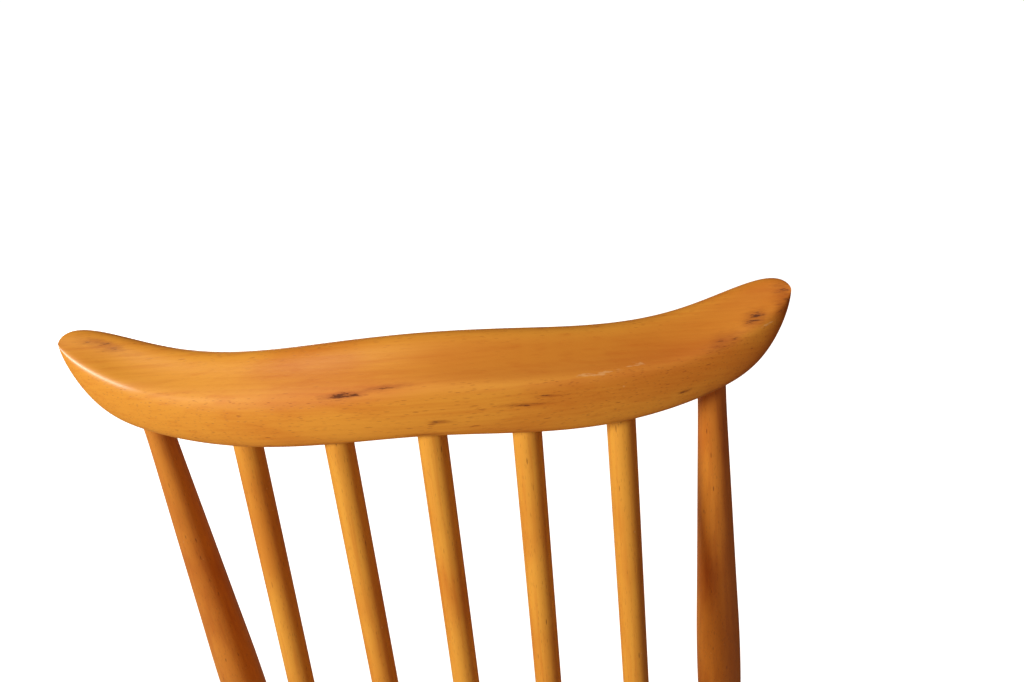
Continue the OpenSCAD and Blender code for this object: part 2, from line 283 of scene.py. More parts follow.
class Graph:
    """Adds nodes to one tree and joins them."""

    def __init__(self, tree):
        self.tree = tree

    def add(self, kind, settings=None, sockets=None, output=0):
        node = self.tree.nodes.new(kind)
        for name, value in (settings or {}).items():
            setattr(node, name, value)
        for key, value in (sockets or {}).items():
            self.feed(node.inputs[key], value)
        return Wire(self, node.outputs[output]) if node.outputs else None

    def feed(self, socket, value):
        if isinstance(value, Wire):
            self.tree.links.new(value.socket, socket)
        elif hasattr(value, "__len__") and socket.type == "RGBA" and len(value) == 3:
            socket.default_value = (*value, 1)
        else:
            socket.default_value = value

    def scaled(self, vector, factors):
        return self.add("ShaderNodeVectorMath", {"operation": "MULTIPLY"}, {0: vector, 1: factors})

    def moved(self, vector, step):
        return self.add("ShaderNodeVectorMath", {"operation": "ADD"}, {0: vector, 1: step})

    def noise(self, vector, detail=2.0, roughness=0.5):
        return self.add(
            "ShaderNodeTexNoise",
            sockets={"Vector": vector, "Scale": 1.0, "Detail": detail, "Roughness": roughness},
        )

    def step(self, value, low, high, to_low=0.0, to_high=1.0):
        """An eased step from to_low to to_high as the value goes from low to high."""
        return self.add(
            "ShaderNodeMapRange",
            {"interpolation_type": "SMOOTHSTEP"},
            {0: value, 1: low, 2: high, 3: to_low, 4: to_high},
        )

    def blend(self, first, second, share):
        """A mix of two colours with the given share of the second one."""
        return self.add(
            "ShaderNodeMix",
            {"data_type": "RGBA", "blend_type": "MIX", "clamp_factor": True},
            {0: share, 6: first, 7: second},
            output=2,
        )

    def xyz(self, vector):
        split = self.tree.nodes.new("ShaderNodeSeparateXYZ")
        self.feed(split.inputs[0], vector)
        return [Wire(self, socket) for socket in split.outputs]


def srgb(red, green, blue):
    """A colour given in display values of 0 to 255, as the linear one that a shader takes."""
    values = [c / 255 for c in (red, green, blue)]
    return tuple(c / 12.92 if c <= 0.04045 else ((c + 0.055) / 1.055) ** 2.4 for c in values)


# ------------------------------------------------------------------ finishes


def new_material(name):
    material = bpy.data.materials.new(name)
    material.use_nodes = True
    material.node_tree.nodes.clear()
    return material, Graph(material.node_tree)


RELIEF = 0.25 * MM
COAT_ROUGHNESS = 0.3


def lacquer(graph, colour, roughness, height, coat=0.22):
    """The clear satin coat over a wood's colour, with the relief that shows through it."""
    bump = graph.add(
        "ShaderNodeBump", sockets={"Strength": 0.6, "Distance": RELIEF, "Height": height}
    )
    shader = graph.add(
        "ShaderNodeBsdfPrincipled",
        sockets={
            "Base Color": colour,
            "Roughness": roughness,
            "IOR": 1.48,
            "Coat Weight": coat,
            "Coat Roughness": COAT_ROUGHNESS,
            "Normal": bump,
        },
    )
    graph.add("ShaderNodeOutputMaterial", sockets={"Surface": shader})


def growth_rings(graph, grain, pith, width, wander):
    """0 to 1 across each year's ring, for a pith that runs along the grain's Z. Years differ in width."""
    drift = graph.noise(graph.scaled(grain, (14.0, 14.0, 3.0)), detail=2.0) - 0.5
    x, y, _ = graph.xyz(grain)
    dx = x - pith[0]
    dy = y - pith[1]
    radius = (dx * dx + dy * dy) ** 0.5 + drift * wander
    years = radius / width
    along_years = graph.add("ShaderNodeCombineXYZ", sockets={"X": years * 0.35, "Y": 0.7})
    uneven = graph.noise(along_years, detail=1.0)
    return graph.add("ShaderNodeMath", {"operation": "FRACT"}, {0: years + 3.2 * uneven})


def flecks(graph, grain, across, along, size, share):
    """Short dark dashes along the grain, 0 to 1."""
    cells = graph.tree.nodes.new("ShaderNodeTexVoronoi")
    cells.inputs["Scale"].default_value = 1.0
    graph.feed(cells.inputs["Vector"], graph.scaled(grain, (1 / across, 1 / across, 1 / along)))
    distance = Wire(graph, cells.outputs["Distance"])
    chance, strength, _ = graph.xyz(Wire(graph, cells.outputs["Color"]))
    kept = graph.step(chance, 1 - share, 1 - share + 0.05)
    return graph.step(distance, size, size * 0.4) * kept * (0.4 + 0.6 * strength)


def beech(name, tones, pith=(0.05, -0.09), ring_width=3.4 * MM, ring_share=0.22, stain=None):
    """Lacquered beech, of pale wood, late wood and flecks. With a stain it is also marked by use, and the
    right half of its scoop gets painted shade.
    """
    pale, late, fleck = tones
    marked_and_shaded = stain is not None
    material, graph = new_material(name)
    grain = graph.add("ShaderNodeAttribute", {"attribute_name": "grain"}, output=1)

    rings = growth_rings(graph, grain, pith, ring_width, 9 * MM)
    late_wood = graph.step(rings, 0.25, 0.95) * (1 - graph.step(rings, 0.95, 1.0))
    patch = graph.noise(graph.scaled(grain, (22.0, 22.0, 8.0)), detail=3.0)
    fibre = graph.noise(graph.scaled(grain, (1500.0, 1500.0, 60.0)), detail=3.0, roughness=0.6)
    streak = graph.noise(graph.scaled(grain, (300.0, 300.0, 11.0)), detail=3.0, roughness=0.6)
    pores = flecks(graph, grain, 0.8 * MM, 7.0 * MM, 0.36, 0.6)
    dashes = flecks(graph, grain, 3.2 * MM, 24 * MM, 0.16, 0.5)
    if marked_and_shaded:
        quarter = graph.add("ShaderNodeAttribute", {"attribute_name": "quarter"}, output=2)
        pores = pores * quarter
        dashes = dashes * quarter
    else:
        pores = pores * 0.6

    colour = graph.blend(pale, late, late_wood * ring_share * graph.step(patch, 0.35, 0.7, 0.3, 1.0))
    colour = graph.blend(colour, late, graph.step(streak, 0.45, 0.75) * 0.34)
    colour = graph.blend(colour, late, graph.step(patch, 0.42, 0.70) * 0.55)
    colour = graph.blend(colour, pale, graph.step(fibre, 0.5, 0.8) * 0.3)
    colour = graph.blend(colour, fleck, pores * 0.5)
    colour = graph.blend(colour, fleck, dashes * 0.7)
    roughness = 0.34 + 0.10 * patch + 0.08 * fibre
    height = 0.5 * fibre - 0.5 * pores - 0.6 * dashes

    if marked_and_shaded:
        worn = graph.add("ShaderNodeAttribute", {"attribute_name": "wear"}, output=2)
        rubbed = graph.add("ShaderNodeAttribute", {"attribute_name": "rub"}, output=2)
        streaky = graph.noise(graph.scaled(grain, (1500.0, 1500.0, 130.0)), detail=4.0, roughness=0.7)
        blotch = graph.noise(graph.scaled(grain, (420.0, 420.0, 110.0)), detail=3.0)
        broken = 0.9 * streaky + 0.7 * blotch - 0.8
        halo = graph.step(worn + 0.5 * broken, 0.06, 0.5)
        grime = graph.step(worn + 1.2 * broken, 0.42, 0.66)
        pale_rub = graph.step(rubbed + 1.1 * broken, 0.45, 0.7)
        dull = graph.add("ShaderNodeAttribute", {"attribute_name": "dull"}, output=2)
        _, _, along = graph.xyz(grain)
        # Painted shade: the right half of the scoop is blended towards the darker late wood tone, in place
        # of the shade on the side turned away from the light.
        painted_right_shade = graph.step(along, 0.035, -0.03) * (1 - quarter)
        colour = graph.blend(colour, pale, ghost_rings(graph, grain) * 0.8)
        colour = graph.blend(colour, late, painted_right_shade * 0.55)
        colour = graph.blend(colour, fleck, halo * 0.5)
        colour = graph.blend(colour, stain, grime * 0.85)
        colour = graph.blend(colour, BARE_WOOD, pale_rub * 0.5)
        roughness = roughness + 0.18 * grime + 0.3 * dull
        height = height - 0.7 * grime + 0.2 * pale_rub
        coat = 0.42 - 0.38 * dull
    else:
        nicks = flecks(graph, graph.moved(grain, (0.5, 0.5, 0.5)), 5.0 * MM, 9.0 * MM, 0.12, 0.16)
        colour = graph.blend(colour, FRESH_WOOD, nicks * 0.7)
        height = height - 0.7 * nicks
        coat = 0.25
    lacquer(graph, colour, roughness, height, coat)
    return material


def ghost_rings(graph, grain):
    """Faint pale arcs where the hollow cuts through a few growth rings, right of the rail's middle."""
    _, above, along = graph.xyz(grain)
    reach = along + 0.125
    lift = (above - 0.010) * 0.55
    radius = (reach * reach + lift * lift) ** 0.5
    ring = graph.add("ShaderNodeMath", {"operation": "FRACT"}, {0: radius / 0.0145})
    near = graph.step(radius, 0.085, 0.065) * graph.step(radius, 0.008, 0.022)
    inside = graph.step(above, 0.034, 0.040) * graph.step(along, -0.125, -0.118)
    return graph.step(ring, 0.0, 0.6) * graph.step(ring, 1.0, 0.7) * near * inside


def elm(name, tones, pith=(0.02, -0.05), ring_width=10 * MM):
    """Satin elm, with open pores in bands and a broad, wavy figure."""
    pale, late, pore = tones
    material, graph = new_material(name)
    grain = graph.add("ShaderNodeAttribute", {"attribute_name": "grain"}, output=1)
    wavy = graph.noise(graph.scaled(grain, (30.0, 30.0, 14.0)), detail=2.0) - 0.5
    nudge = graph.add("ShaderNodeCombineXYZ", sockets={"X": 0.012 * wavy, "Y": 0.008 * wavy})
    rings = growth_rings(graph, graph.moved(grain, nudge), pith, ring_width, 40 * MM)
    late_wood = graph.step(rings, 0.1, 0.85) * (1 - graph.step(rings, 0.9, 1.0))
    patch = graph.noise(graph.scaled(grain, (8.0, 8.0, 3.0)), detail=3.0)
    fibre = graph.noise(graph.scaled(grain, (1100.0, 1100.0, 26.0)), detail=3.0, roughness=0.65)
    streak = graph.noise(graph.scaled(grain, (220.0, 220.0, 6.0)), detail=3.0, roughness=0.6)
    early = graph.step(rings, 0.9, 1.0) + graph.step(rings, 0.22, 0.0)
    pores = flecks(graph, grain, 0.9 * MM, 7.0 * MM, 0.42, 0.75)
    colour = graph.blend(pale, late, late_wood * graph.step(patch, 0.3, 0.7, 0.25, 0.6))
    colour = graph.blend(colour, late, graph.step(patch, 0.4, 0.75) * 0.45)
    colour = graph.blend(colour, late, graph.step(streak, 0.45, 0.75) * 0.4)
    colour = graph.blend(colour, pore, graph.step(fibre, 0.5, 0.85) * 0.3)
    colour = graph.blend(colour, pore, pores * (0.15 + 0.5 * early))
    roughness = 0.36 + 0.12 * patch
    lacquer(graph, colour, roughness, 0.5 * fibre - pores * early, coat=0.2)
    return material


def end_grain(name, tones):
    """Dark stained wood of the wedges and pins, patterned in the object's own space."""
    pale, late = tones
    material, graph = new_material(name)
    place = graph.add("ShaderNodeTexCoord", output=3)
    mottle = graph.noise(graph.scaled(place, (900.0, 300.0, 900.0)), detail=3.0)
    colour = graph.blend(pale, late, graph.step(mottle, 0.35, 0.7))
    lacquer(graph, colour, 0.42 + 0.1 * mottle, mottle)
    return material


RAIL_TONES = (srgb(234, 164, 57), srgb(204, 111, 28), srgb(146, 58, 12))
SPINDLE_TONES = (srgb(238, 174, 66), srgb(204, 112, 28), srgb(118, 52, 12))
POST_TONES = (srgb(226, 148, 54), srgb(182, 86, 20), srgb(100, 38, 7))
ROCKER_TONES = (srgb(216, 136, 46), srgb(176, 88, 22), srgb(100, 42, 10))
SEAT_TONES = (srgb(214, 142, 62), srgb(166, 86, 28), srgb(88, 40, 12))
FIXING_TONES = (srgb(112, 62, 26), srgb(70, 36, 14))
STAIN = srgb(74, 32, 10)
BARE_WOOD = srgb(244, 200, 138)
FRESH_WOOD = srgb(246, 206, 146)


# ------------------------------------------------------------------ crest rail

# Millimetres in the back's own frame. The knots are [x, height above the base line].
RAIL_REACH = 218.8
RAIL_UNDER = even_curve([[0, -3.9], [57, -8], [114, -11.2], [150, -8.4], [180, -4.5], [205, -0.5], [219, 5]])
RAIL_RIDGE = even_curve([[0, 35], [57, 31.1], [114, 27.7], [150, 27.7], [180, 31.6], [205, 37.4], [219, 40]])
RAIL_TOP = even_curve([[0, 54], [57, 50.3], [114, 43.8], [150, 44.2], [180, 49.7], [205, 56.8], [219, 61.5]])
TIP_HEIGHT = 52
TIP_BEHIND = 9
RAIL_BACK = 18.0
RAIL_FRONT = 15.0
RAIL_EDGE = 9.0
RAIL_BULGE = 1.6
SCOOP_DEPTH = 2.25
RAIL_ROUND = 132  # points in each section


def rail_section(x):
    """The rail's outline at x, as millimetres behind and above. full shrinks it at the tips."""
    full = max(0.0, 1 - (abs(x) / RAIL_REACH) ** 12) ** 0.6
    under, ridge, top = (TIP_HEIGHT + (c(x) - TIP_HEIGHT) * full for c in (RAIL_UNDER, RAIL_RIDGE, RAIL_TOP))
    back = TIP_BEHIND + (RAIL_BACK - TIP_BEHIND) * full
    front = TIP_BEHIND + (-RAIL_FRONT - TIP_BEHIND) * full
    edge = front + RAIL_EDGE * full
    bulge = back + RAIL_BULGE * full
    r, c = 5 * full, 3 * full
    start, lift = back - c, ridge + 1.5 * full
    scoop = [
        [
            start + (edge - start) * t,
            lift + (top - lift - 0.5 * full) * t - 4 * SCOOP_DEPTH * full * t * (1 - t),
        ]
        for t in (0.2, 0.4, 0.6, 0.8)
    ]
    outline = [
        [front + c, under],
        [(front + back) / 2, under - 0.2 * full],
        [back - r, under],
        [back - 0.28 * r, under + 0.28 * r],
        [back, under + r],
        [bulge, under + (ridge - under) * 0.4],
        [bulge, under + (ridge - under) * 0.68],
        [back + 0.8 * full, ridge - c],
        [back - 0.3 * full, ridge + 0.1 * full],
        [start, lift],
        *scoop,
        [edge, top - 0.5 * full],
        [edge - 2.5 * full, top],
        [front + 2.4 * full, top - 0.2 * full],
        [front + 0.4 * full, top - 2 * full],
        [front, top - 5 * full],
        [front - 0.5 * full, under + (top - under) * 0.66],
        [front - 0.5 * full, under + (top - under) * 0.33],
        [front, under + c],
        [front + 0.8 * full, under + c * 0.4],
    ]
    return rounded(np.array(outline))


def softened(outline, reach):
    """A closed outline of evenly spaced points with every corner rounded over, at the same overall size."""
    low, high = outline.min(0), outline.max(0)
    closed = np.concatenate([outline, outline[:1]])
    run = np.concatenate([[0], np.cumsum(np.linalg.norm(np.diff(closed, axis=0), axis=1))])
    at = np.linspace(0, run[-1], RAIL_ROUND + 1)[:-1]
    even = np.stack([np.interp(at, run, closed[:, i]) for i in (0, 1)], 1)
    waves = np.fft.rfftfreq(RAIL_ROUND, run[-1] / RAIL_ROUND)
    damping = np.exp(-2 * (math.pi * waves * reach) ** 2)[:, None]
    even = np.fft.irfft(np.fft.rfft(even, axis=0) * damping, RAIL_ROUND, axis=0)
    new_low, new_high = even.min(0), even.max(0)
    return low + (even - new_low) * (high - low) / (new_high - new_low)


def spot(local, over_ridge, across, up, reach, height, strength=1.0):
    """A soft oval mark on the rail, by its place across the rail and above the ridge."""
    return strength * np.exp(-(((local[:, 2] - across) / reach) ** 2) - ((over_ridge - up) / height) ** 2)


def rail_wear(mark):
    """Where the rail is dented, stained and grimy from use."""
    return np.maximum.reduce(
        [
            mark(across=46, up=-0.3, reach=16, height=1.7, strength=0.6),
            mark(across=46, up=-0.8, reach=11, height=0.6, strength=0.8),
            mark(across=22, up=1.0, reach=20, height=1.3, strength=0.42),
            mark(across=190, up=15, reach=20, height=3.5, strength=0.4),
            mark(across=-176, up=1, reach=13, height=4.5, strength=0.42),
            mark(across=-196, up=5, reach=9, height=4.0, strength=0.45),
            mark(across=-214, up=9, reach=8, height=13, strength=0.4),
            mark(across=-8, up=-24, reach=8, height=1.4, strength=0.62),
            mark(across=-58, up=-14, reach=17, height=1.3, strength=0.52),
            mark(across=-72, up=-9, reach=12, height=1.1, strength=0.48),
            mark(across=2, up=-34, reach=15, height=1.6, strength=0.45),
            mark(across=-152, up=-22, reach=5, height=1.6, strength=0.5),
        ]
    )


def rail_rub(mark):
    """Where the ridge is rubbed and chipped pale."""
    return np.maximum.reduce(
        [
            mark(across=-100, up=0.5, reach=22, height=1.5, strength=0.6),
            mark(across=-125, up=1.5, reach=12, height=1.2, strength=0.6),
            mark(across=-204, up=0, reach=7, height=0.9, strength=0.8),
            mark(across=-116, up=-9, reach=1.0, height=1.0, strength=1.2),
        ]
    )


def make_crest_rail(material):
    """Skinned over sections that stop just short of the tips, where they would shrink to nothing."""
    stations = RAIL_REACH * np.sin(np.linspace(-math.pi / 2, math.pi / 2, 261)) * 0.99995
    sections = []
    for x in stations:
        outline = rail_section(x)
        worn_soft = 4.0 * math.exp(-(((x - 90) / 85) ** 2))
        tip = 4.0 * (abs(x) / RAIL_REACH) ** 14
        sections.append(softened(outline, (2.2 + worn_soft + tip) * min(1, np.ptp(outline[:, 0]) / 30)))
    sections = np.array(sections)
    behind = sections[:, :, 0] + (rail_arc(stations * MM) / MM)[:, None]
    above = sections[:, :, 1]
    across = np.repeat(stations[:, None], sections.shape[1], 1)
    piece = skin("crest_rail_carved", back_points(across * MM, behind * MM, above * MM))

    rings = np.stack([behind, above, across], -1)
    local = np.concatenate([rings.reshape(-1, 3), rings[[0, -1]].mean(1)])
    put_vectors(piece, "grain", local * MM)
    depth = local[:, 0] - rail_arc(local[:, 2] * MM) / MM
    over_ridge = local[:, 1] - RAIL_RIDGE(local[:, 2])
    rear = ease((depth + 8) / 8)
    mark = partial(spot, local, over_ridge)
    put_values(piece, "wear", rail_wear(mark) * rear)
    put_values(piece, "rub", rail_rub(mark) * rear)
    matt_ridge = np.exp(-((over_ridge / 5) ** 2)) * (1 - ease((local[:, 2] - 165) / 20))
    put_values(piece, "dull", matt_ridge * rear)
    put_values(piece, "quarter", 1 - 0.75 * ease((over_ridge + 1) / 4) * rear)
    smooth(piece, 60)
    finish_piece(piece, material, "crest_rail")


# ------------------------------------------------------------------ turned pieces


def turning_tree():
    """A tree that turns an outline, given as points [distance along, radius], into a closed round piece."""
    tree = bpy.data.node_groups.new("turned piece", "GeometryNodeTree")
    face = tree.interface
    face.new_socket("Outline", in_out="INPUT", socket_type="NodeSocketGeometry")
    face.new_socket("Foot", in_out="INPUT", socket_type="NodeSocketVector")
    face.new_socket("Head", in_out="INPUT", socket_type="NodeSocketVector")
    face.new_socket("Grain Offset", in_out="INPUT", socket_type="NodeSocketVector")
    face.new_socket("Rings", in_out="INPUT", socket_type="NodeSocketInt")
    face.new_socket("Sides", in_out="INPUT", socket_type="NodeSocketInt")
    face.new_socket("Wood", in_out="INPUT", socket_type="NodeSocketMaterial")
    face.new_socket("Piece", in_out="OUTPUT", socket_type="NodeSocketGeometry")
    graph = Graph(tree)
    given = tree.nodes.new("NodeGroupInput")
    asked = {s.name: Wire(graph, s) for s in given.outputs if s.name}

    line = graph.add("GeometryNodeMeshToCurve", sockets={"Mesh": asked["Outline"]})
    line = graph.add("GeometryNodeCurveSplineType", {"spline_type": "CATMULL_ROM"}, {"Curve": line})
    line = graph.add(
        "GeometryNodeResampleCurve", sockets={"Curve": line, "Count": asked["Rings"]}
    )
    along, radius, _ = graph.xyz(graph.add("GeometryNodeInputPosition"))
    line = graph.add("GeometryNodeSetCurveRadius", sockets={"Curve": line, "Radius": radius})
    axis = graph.add("ShaderNodeCombineXYZ", sockets={"Z": along})
    line = graph.add("GeometryNodeSetPosition", sockets={"Geometry": line, "Position": axis})
    circle = graph.add(
        "GeometryNodeCurvePrimitiveCircle", sockets={"Resolution": asked["Sides"], "Radius": 1.0}
    )
    sweep = {"Curve": line, "Profile Curve": circle, "Fill Caps": True}
    body = tree.nodes.new("GeometryNodeCurveToMesh")
    if "Scale" in body.inputs:
        sweep["Scale"] = graph.add("GeometryNodeInputRadius")
    for key, value in sweep.items():
        graph.feed(body.inputs[key], value)
    shape = Wire(graph, body.outputs[0])
    grain = graph.add(
        "ShaderNodeVectorMath",
        {"operation": "ADD"},
        {0: graph.add("GeometryNodeInputPosition"), 1: asked["Grain Offset"]},
    )
    shape = graph.add(
        "GeometryNodeStoreNamedAttribute",
        {"data_type": "FLOAT_VECTOR", "domain": "POINT"},
        {"Geometry": shape, "Name": "grain", "Value": grain},
    )
    run = graph.add(
        "ShaderNodeVectorMath", {"operation": "SUBTRACT"}, {0: asked["Head"], 1: asked["Foot"]}
    )
    turn = graph.add("FunctionNodeAlignRotationToVector", {"axis": "Z"}, {"Vector": run})
    shape = graph.add(
        "GeometryNodeTransform",
        sockets={"Geometry": shape, "Translation": asked["Foot"], "Rotation": turn},
    )
    shape = graph.add("GeometryNodeSetShadeSmooth", sockets={"Geometry": shape})
    shape = graph.add("GeometryNodeRealizeInstances", sockets={"Geometry": shape})
    shape = graph.add(
        "GeometryNodeSetMaterial", sockets={"Geometry": shape, "Material": asked["Wood"]}
    )
    graph.feed(tree.nodes.new("NodeGroupOutput").inputs[0], shape)
    return tree


TURNING = turning_tree()


def turned(name, foot, head, outline, material, rings=140, sides=56):
    """A round piece from foot to head. outline is [distance from the foot, radius] in metres."""
    points = [(d, r, 0) for d, r in outline]
    mesh = bpy.data.meshes.new(name + "_outline")
    mesh.from_pydata(points, [(i, i + 1) for i in range(len(points) - 1)], [])
    source = bpy.data.objects.new(name + "_outline", mesh)
    bpy.context.scene.collection.objects.link(source)
    lathe = source.modifiers.new("turning", "NODES")
    lathe.node_group = TURNING
    seed = sum(ord(c) * (i + 1) for i, c in enumerate(name))
    values = {
        "Foot": foot,
        "Head": head,
        "Grain Offset": ((seed % 17) * 11 * MM, (seed % 13) * 9 * MM, (seed % 7) * 0.31),
        "Rings": rings,
        "Sides": sides,
        "Wood": material,
    }
    for item in TURNING.interface.items_tree:
        if item.in_out == "INPUT" and item.name in values:
            value = values[item.name]
            lathe[item.identifier] = [float(v) for v in value] if hasattr(value, "__len__") else value
    scene_now = bpy.context.evaluated_depsgraph_get()
    made = bpy.data.meshes.new_from_object(source.evaluated_get(scene_now))
    bpy.data.objects.remove(source)
    made.name = name
    piece = bpy.data.objects.new(name, made)
    bpy.context.scene.collection.objects.link(piece)
    face_outwards(piece)
    smooth(piece)
    return piece


SPINDLE_R = 0.0090
SPINDLE_FOOT_R = 0.0075
FOOT_LENGTH = 0.030  # of the straight end of a spindle or a post, most of it in the seat
POST_FOOT_R = 0.012
POST_TOP_R = 0.00875
POST_TAPER = 0.0265  # growth in radius for each unit down from the rail


def make_long_spindle(number, k, side, material):
    drop = drop_to_seat(k, side) + SEAT_SOCKET
    outline = [
        [0, SPINDLE_FOOT_R],
        [FOOT_LENGTH, SPINDLE_FOOT_R],
        [drop * 0.24, 0.0083],
        [drop * 0.42, SPINDLE_R],
        [drop * 0.7, SPINDLE_R],
        [drop + SOCKET_DEPTH, SPINDLE_R],
    ]
    piece = turned(
        f"spindle_{number}", upright(k, side, drop), upright(k, side, -SOCKET_DEPTH), outline, material
    )
    finish_piece(piece, material, f"long_spindle_{number}")


def make_back_post(word, side, material):
    drop = drop_to_seat(3, side) + SEAT_SOCKET
    outline = [[0, POST_FOOT_R], [FOOT_LENGTH, POST_FOOT_R], [drop - 0.480, 0.0156], [drop - 0.390, 0.0174]]
    outline += [[drop - t, POST_TOP_R + POST_TAPER * t] for t in (0.300, 0.200, 0.100, 0.010)]
    outline += [[drop + SOCKET_DEPTH, POST_TOP_R]]
    piece = turned(
        f"post_{word}", upright(3, side, drop), upright(3, side, -SOCKET_DEPTH), outline, material
    )
    finish_piece(piece, material, f"back_post_{word}")


# ------------------------------------------------------------------ seat


def power(v, e):
    """A power that keeps the sign."""
    return np.sign(v) * np.abs(v) ** e


def seat_outline(angles, grow=0.0):
    rear = np.sin(angles) > 0
    e = 2 / np.where(rear, REAR_SQUARENESS, FRONT_SQUARENESS)
    x = (SEAT_HALF_WIDTH + grow) * power(np.cos(angles), e)
    y = SEAT_CENTRE_Y + (np.where(rear, SEAT_REAR, SEAT_FRONT) + grow) * power(np.sin(angles), e)
    return x, y


def seat_top(x, y):
    """The height of the dished top in the seat's own frame."""
    rear = y > SEAT_CENTRE_Y
    v = (y - SEAT_CENTRE_Y) / np.where(rear, SEAT_REAR, SEAT_FRONT)
    e = np.where(rear, REAR_SQUARENESS, FRONT_SQUARENESS)
    r = ((np.abs(x) / SEAT_HALF_WIDTH) ** e + np.abs(v) ** e) ** (1 / e)
    dish = 1 - ease((r - 0.42) / 0.46)
    pommel = np.exp(-((x / 0.046) ** 2)) * ease((-v - 0.05) / 0.75)
    front_roll = ease((-v - 0.72) / 0.28)
    return -SADDLE_DEPTH * dish * (1 - 0.75 * pommel) - 0.006 * front_roll * (1 - 0.6 * pommel)


# The seat's rounded edge from the top down, as [outward, height] in millimetres.
SEAT_EDGE = [
    (0.0, -2.6),
    (0.45, -5.2),
    (0.6, -8.0),
    (0.4, -11.0),
    (-0.6, -14.5),
    (-3.5, -18.5),
    (-8.0, -24.0),
    (-15.0, -31.0),
    (-20.0, -36.0),
    (-22.0, -37.7),
    (-24.0, -38.0),
]


def make_seat_blank():
    around = np.linspace(0, 2 * math.pi, 241)[:-1]
    ox, oy = seat_outline(around)
    rings = []
    for s in np.concatenate([np.linspace(0.02, 0.97, 46), [0.98, 0.988, 0.994]]):
        x, y = ox * s, SEAT_CENTRE_Y + (oy - SEAT_CENTRE_Y) * s
        drop = 1.3 * MM * ease((s - 0.965) / 0.03) ** 2
        rings.append(np.stack([x, y, seat_top(x, y) - drop], -1))
    for grow, height in SEAT_EDGE:
        x, y = seat_outline(around, grow * MM)
        roll = seat_top(ox * 0.985, SEAT_CENTRE_Y + (oy - SEAT_CENTRE_Y) * 0.985)
        share = np.clip(1 + (height + 14) / 20, 0, 1)
        rings.append(np.stack([x, y, height * MM + roll * share], -1))
    for s in np.linspace(0.85, 0.05, 12):
        x, y = seat_outline(around, -0.024)
        rings.append(
            np.stack([x * s, SEAT_CENTRE_Y + (y - SEAT_CENTRE_Y) * s, np.full(len(x), -SEAT_THICKNESS)], -1)
        )
    return skin("seat_blank", from_seat(np.array(rings)))


def cut_away(piece, *planes):
    """Cuts away what lies beyond each plane, given as a point and a normal, and closes the cuts."""
    shape = bmesh.new()
    shape.from_mesh(piece.data)
    for point, normal in planes:
        everything = shape.verts[:] + shape.edges[:] + shape.faces[:]
        cut = bmesh.ops.bisect_plane(
            shape, geom=everything, plane_co=Vector(point), plane_no=Vector(normal), clear_outer=True
        )
        edges = [e for e in cut["geom_cut"] if isinstance(e, bmesh.types.BMEdge)]
        if edges:
            bmesh.ops.contextual_create(shape, geom=edges)
    bmesh.ops.recalc_face_normals(shape, faces=shape.faces)
    shape.to_mesh(piece.data)
    shape.free()


def make_seat(material):
    blank = make_seat_blank()
    joint = 0.12 * MM
    boards = {
        "left": (BOARD_HALF + joint, 1.0, (0.31, 0.02, 0.17)),
        "middle": (-BOARD_HALF + joint, BOARD_HALF - joint, (-0.012, 0.0, 0.0)),
        "right": (-1.0, -BOARD_HALF - joint, (-0.24, 0.03, 0.53)),
    }
    for word, (low, high, offset) in boards.items():
        piece = blank.copy()
        piece.data = blank.data.copy()
        piece.name = f"seat_{word}"
        bpy.context.scene.collection.objects.link(piece)
        cut_away(piece, ((low, 0, 0), (-1, 0, 0)), ((high, 0, 0), (1, 0, 0)))
        local = in_seat(positions(piece))
        put_vectors(piece, "grain", np.stack([local[:, 0], local[:, 2], local[:, 1]], -1) + offset)
        smooth(piece, 50)
        finish_piece(piece, material, f"seat_board_{word}")
    bpy.data.objects.remove(blank)


# ------------------------------------------------------------------ rockers and legs

BALANCE_Y = -0.0305
ROCKER_RADIUS = 1.050
ROCKER_TOP_RADIUS = 1.200
ROCKER_HEIGHT = 0.048
ROCKER_WIDTH = 0.031
ROCKER_X = 0.208
ROCKER_HALF = 0.390
ROCKER_END_R = 0.030


def rocker_under(y):
    return ROCKER_RADIUS - np.sqrt(ROCKER_RADIUS**2 - (y - BALANCE_Y) ** 2)


def rocker_top(y):
    return ROCKER_HEIGHT + ROCKER_TOP_RADIUS - np.sqrt(ROCKER_TOP_RADIUS**2 - (y - BALANCE_Y) ** 2)


def make_rocker(word, side, material):
    """Skinned over upright sections with eased edges, and rounded at both ends."""
    reach = ROCKER_HALF - ROCKER_END_R
    end = reach + ROCKER_END_R * np.sin(np.linspace(0, math.pi / 2, 24)) * 0.9999
    stations = np.concatenate([-end[::-1], np.linspace(-reach, reach, 140)[1:-1], end])
    corners = np.linspace(0, 2 * math.pi, 65)[:-1]
    rings = []
    for y in stations:
        under, top = rocker_under(y), rocker_top(y)
        if abs(y) > reach:
            centre = (rocker_under(math.copysign(reach, y)) + rocker_top(math.copysign(reach, y))) / 2
            chord = math.sqrt(ROCKER_END_R**2 - (abs(y) - reach) ** 2)
            under, top = max(under, centre - chord), min(top, centre + chord)
        height = (top - under) / 2
        eased = min(5.0 * MM, height * 0.9)
        flat_x, flat_z = ROCKER_WIDTH / 2 - eased, height - eased
        x = np.sign(np.cos(corners)) * flat_x + eased * np.cos(corners)
        z = np.sign(np.sin(corners)) * flat_z + eased * np.sin(corners)
        rings.append(np.stack([side * ROCKER_X + x, np.full(len(x), y), (under + top) / 2 + z], -1))
    piece = skin(f"rocker_{word}_bent", np.array(rings))
    local = positions(piece)
    bent = local[:, 2] - rocker_under(np.clip(local[:, 1], -0.389, 0.389))
    offset = np.array([0.02, 0.01, 0.4 * (side > 0)])
    put_vectors(piece, "grain", np.stack([local[:, 0], bent, local[:, 1]], -1) + offset)
    smooth(piece, 50)
    finish_piece(piece, material, f"rocker_{word}")


